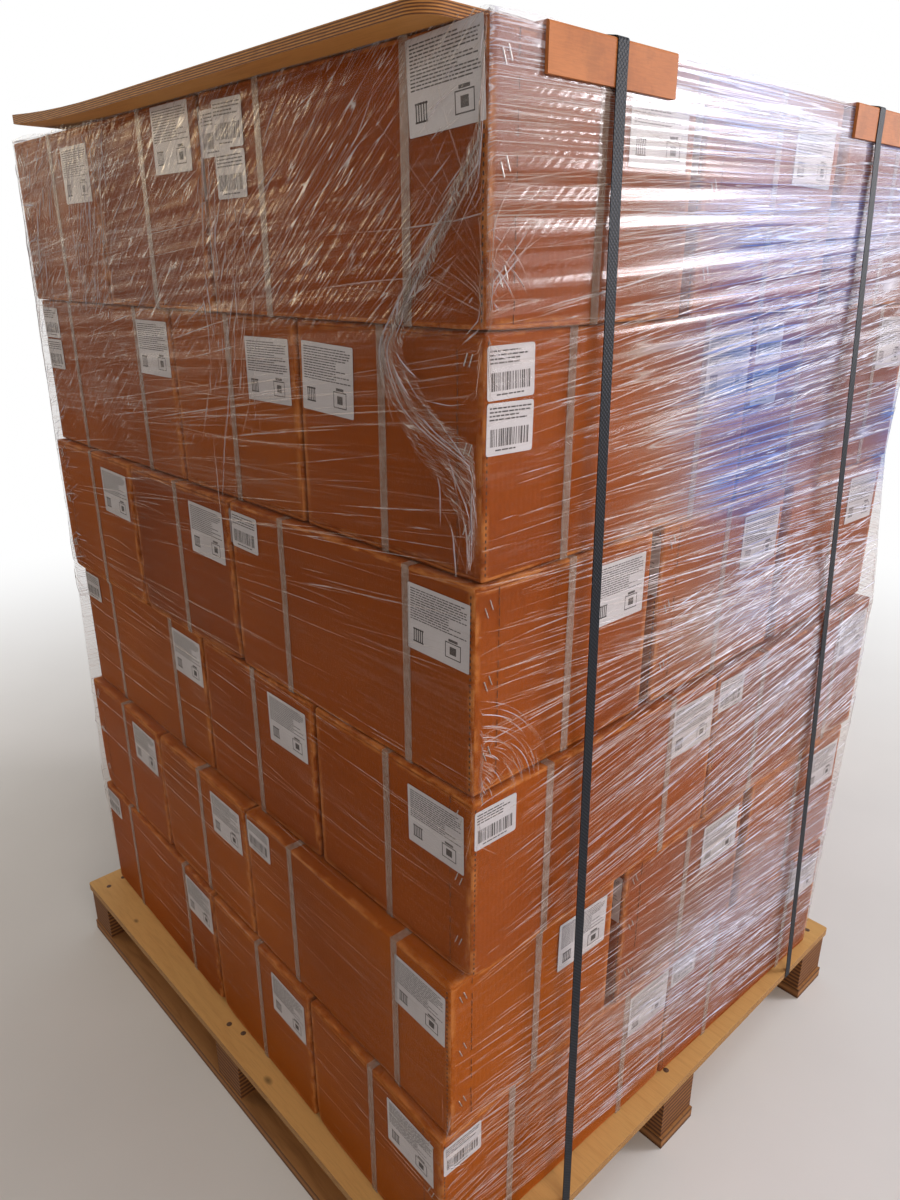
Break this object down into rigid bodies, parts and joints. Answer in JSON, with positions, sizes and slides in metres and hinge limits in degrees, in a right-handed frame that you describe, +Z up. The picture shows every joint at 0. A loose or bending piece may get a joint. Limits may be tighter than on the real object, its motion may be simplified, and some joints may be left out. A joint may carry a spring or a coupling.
{
  "type": "shrink wrapped pallet load",
  "caption": "Stretch-wrapped pallet load of banded brown cartons on a plywood block pallet, with a plywood top board, edge protectors and two dark straps.",
  "frame": {"origin": "On the floor under the middle of the pallet, the centre of the bounding box's bottom.", "axes": "+Z up; +X towards the strapped side with two edge protectors, along the pallet's runners; -Y is the other side seen in the picture."},
  "size_m": [1.1824, 1.06, 1.6185],
  "materials": {
    "kraft_corrugated_board": "matte",
    "white_plastic_band": "satin",
    "deck_plywood": "satin",
    "board_plywood": "satin",
    "laminated_block_wood": "rough",
    "runner_wood": "rough",
    "kraft_fibreboard": "matte",
    "dark_strap_plastic": "satin",
    "clear_film": "gloss"
  },
  "bodies": {
    "root": {"carton_bands_layer1": "white_plastic_band", "carton_bands_layer2": "white_plastic_band", "carton_bands_layer3": "white_plastic_band", "carton_bands_layer4": "white_plastic_band", "carton_bands_layer5": "white_plastic_band", "carton_bands_layer6": "white_plastic_band", "carton_layer1_1": "kraft_corrugated_board", "carton_layer1_2": "kraft_corrugated_board", "carton_layer1_3": "kraft_corrugated_board", "carton_layer1_4": "kraft_corrugated_board", "carton_layer1_5": "kraft_corrugated_board", "carton_layer1_6": "kraft_corrugated_board", "carton_layer1_7": "kraft_corrugated_board", "carton_layer2_1": "kraft_corrugated_board", "carton_layer2_2": "kraft_corrugated_board", "carton_layer2_3": "kraft_corrugated_board", "carton_layer2_4": "kraft_corrugated_board", "carton_layer2_5": "kraft_corrugated_board", "carton_layer2_6": "kraft_corrugated_board", "carton_layer2_7": "kraft_corrugated_board", "carton_layer3_1": "kraft_corrugated_board", "carton_layer3_2": "kraft_corrugated_board", "carton_layer3_3": "kraft_corrugated_board", "carton_layer3_4": "kraft_corrugated_board", "carton_layer3_5": "kraft_corrugated_board", "carton_layer3_6": "kraft_corrugated_board", "carton_layer3_7": "kraft_corrugated_board", "carton_layer4_1": "kraft_corrugated_board", "carton_layer4_2": "kraft_corrugated_board", "carton_layer4_3": "kraft_corrugated_board", "carton_layer4_4": "kraft_corrugated_board", "carton_layer4_5": "kraft_corrugated_board", "carton_layer4_6": "kraft_corrugated_board", "carton_layer4_7": "kraft_corrugated_board", "carton_layer5_1": "kraft_corrugated_board", "carton_layer5_2": "kraft_corrugated_board", "carton_layer5_3": "kraft_corrugated_board", "carton_layer5_4": "kraft_corrugated_board", "carton_layer5_5": "kraft_corrugated_board", "carton_layer5_6": "kraft_corrugated_board", "carton_layer5_7": "kraft_corrugated_board", "carton_layer6_1": "kraft_corrugated_board", "carton_layer6_2": "kraft_corrugated_board", "carton_layer6_3": "kraft_corrugated_board", "carton_layer6_4": "kraft_corrugated_board", "carton_layer6_5": "kraft_corrugated_board", "carton_layer6_6": "kraft_corrugated_board", "carton_layer6_7": "kraft_corrugated_board", "edge_protector_left_1": "kraft_fibreboard", "edge_protector_left_2": "kraft_fibreboard", "edge_protector_right_1": "kraft_fibreboard", "edge_protector_right_2": "kraft_fibreboard", "pallet_blocks": "laminated_block_wood", "pallet_deck": "deck_plywood", "pallet_runners": "runner_wood", "strap_1": "dark_strap_plastic", "strap_2": "dark_strap_plastic", "stretch_wrap": "clear_film", "top_board": "board_plywood"}
  },
  "joints": []
}
